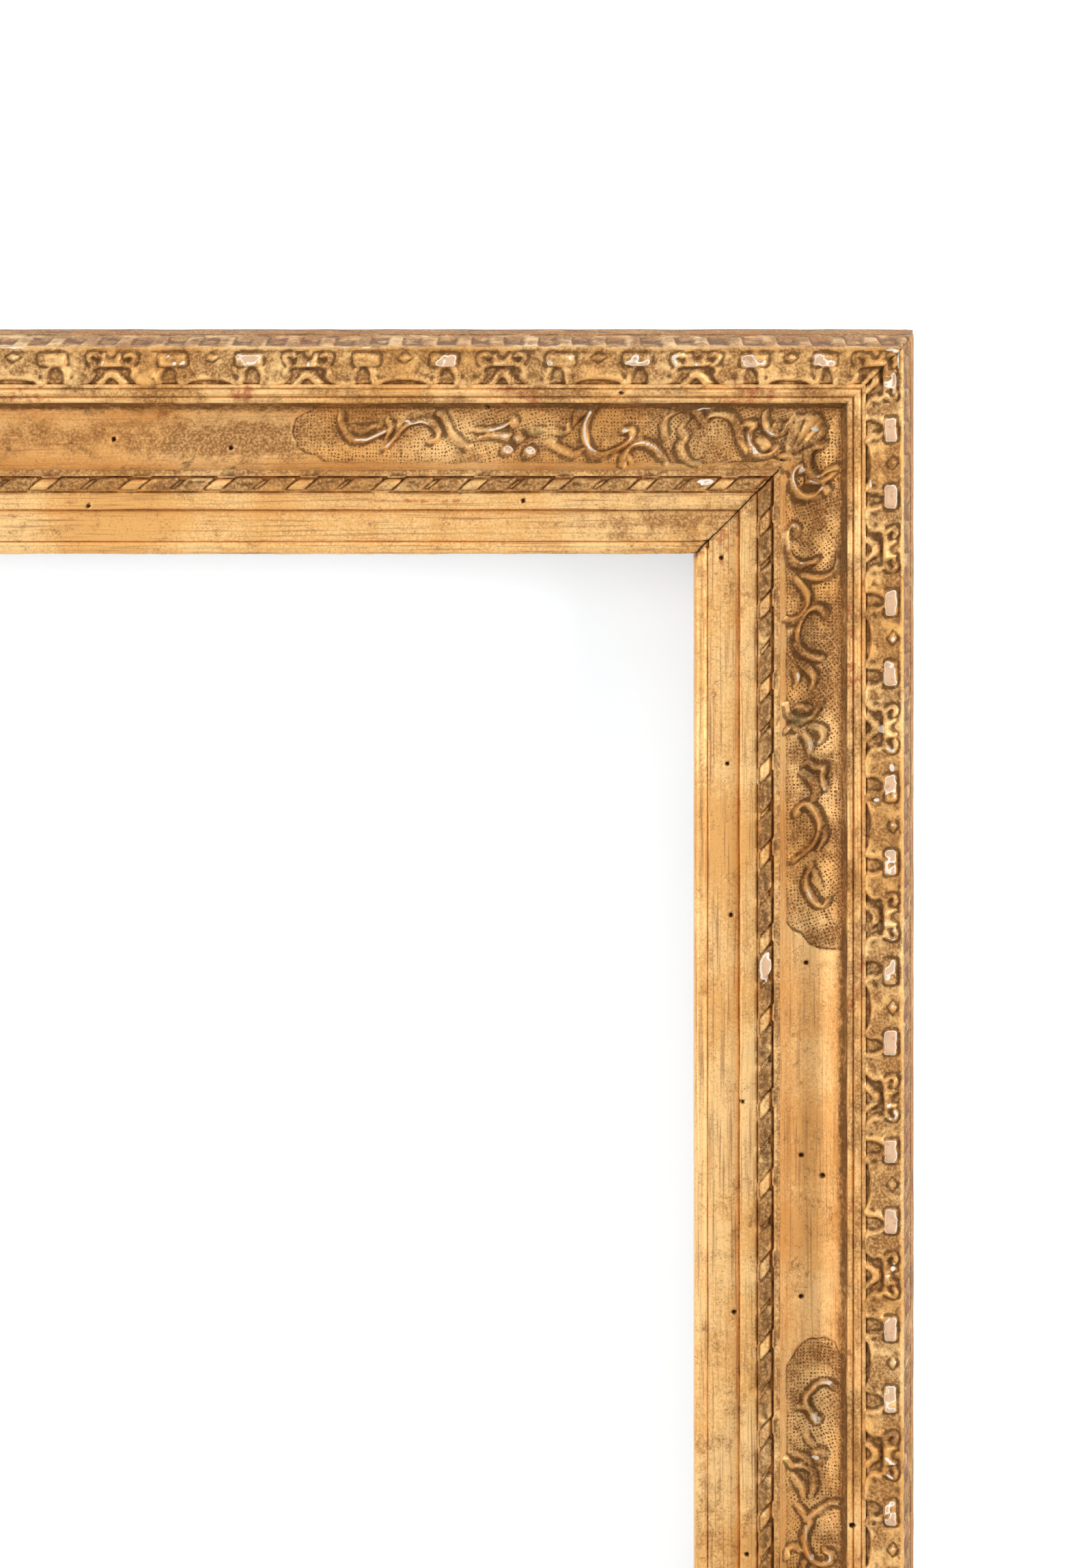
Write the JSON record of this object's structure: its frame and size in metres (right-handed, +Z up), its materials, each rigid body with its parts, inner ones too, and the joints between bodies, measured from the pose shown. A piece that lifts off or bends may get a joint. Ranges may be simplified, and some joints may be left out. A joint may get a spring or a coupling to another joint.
{
  "type": "picture frame",
  "caption": "Landscape picture frame: half-lapped back frame, mitred sight, hollow and edge mouldings, swinging hanger rings and turn buttons.",
  "frame": {"origin": "centre of the back face of the top rail, which lies against the wall", "axes": "+X along the rails to the right as seen from the front, +Y towards the wall, +Z up"},
  "size_m": [1.065, 0.0501, 0.875],
  "materials": {
    "gilded_wood": "water gilding on red bole and gesso, worn",
    "back_wood": "old planed softwood, stained by age",
    "peg_wood": "end grain, unfinished",
    "iron": "dark oxidised iron",
    "brass": "dull aged brass"
  },
  "bodies": {
    "frame": {"back_rail_top": "back_wood", "back_rail_bottom": "back_wood", "back_stile_left": "back_wood", "back_stile_right": "back_wood", "sight_moulding_top": "gilded_wood", "sight_moulding_right": "gilded_wood", "sight_moulding_bottom": "gilded_wood", "sight_moulding_left": "gilded_wood", "hollow_moulding_top": "gilded_wood", "hollow_moulding_right": "gilded_wood", "hollow_moulding_bottom": "gilded_wood", "hollow_moulding_left": "gilded_wood", "edge_moulding_top": "gilded_wood", "edge_moulding_right": "gilded_wood", "edge_moulding_bottom": "gilded_wood", "edge_moulding_left": "gilded_wood", "lap_pegs": "peg_wood", "moulding_nails": "iron", "hanger_strap_left": "iron", "hanger_strap_right": "iron", "hanger_screws": "iron", "turn_button_screws": "brass"},
    "ring_left": {"hanger_ring_left": "iron"},
    "ring_right": {"hanger_ring_right": "iron"},
    "button_left_top": {"turn_button_left_top": "brass"},
    "button_left_middle": {"turn_button_left_middle": "brass"},
    "button_left_bottom": {"turn_button_left_bottom": "brass"},
    "button_right_top": {"turn_button_right_top": "brass"},
    "button_right_middle": {"turn_button_right_middle": "brass"},
    "button_right_bottom": {"turn_button_right_bottom": "brass"}
  },
  "joints": [
    {"name": "ring_left_swing", "type": "hinge", "parent": "frame", "child": "ring_left", "pos_m": [-0.5085, -0.00328, -0.13379], "axis": [1, 0, 0], "range_deg": [0, 180]},
    {"name": "ring_right_swing", "type": "hinge", "parent": "frame", "child": "ring_right", "pos_m": [0.5085, -0.00328, -0.13379], "axis": [1, 0, 0], "range_deg": [0, 180]},
    {"name": "button_left_top_turn", "type": "hinge", "parent": "frame", "child": "button_left_top", "pos_m": [-0.4725, -0.0042, -0.20012], "axis": [0, 1, 0], "continuous": true},
    {"name": "button_left_middle_turn", "type": "hinge", "parent": "frame", "child": "button_left_middle", "pos_m": [-0.4725, -0.0042, -0.402], "axis": [0, 1, 0], "continuous": true},
    {"name": "button_left_bottom_turn", "type": "hinge", "parent": "frame", "child": "button_left_bottom", "pos_m": [-0.4725, -0.0042, -0.60388], "axis": [0, 1, 0], "continuous": true},
    {"name": "button_right_top_turn", "type": "hinge", "parent": "frame", "child": "button_right_top", "pos_m": [0.4725, -0.0042, -0.20012], "axis": [0, 1, 0], "continuous": true},
    {"name": "button_right_middle_turn", "type": "hinge", "parent": "frame", "child": "button_right_middle", "pos_m": [0.4725, -0.0042, -0.402], "axis": [0, 1, 0], "continuous": true},
    {"name": "button_right_bottom_turn", "type": "hinge", "parent": "frame", "child": "button_right_bottom", "pos_m": [0.4725, -0.0042, -0.60388], "axis": [0, 1, 0], "continuous": true}
  ]
}
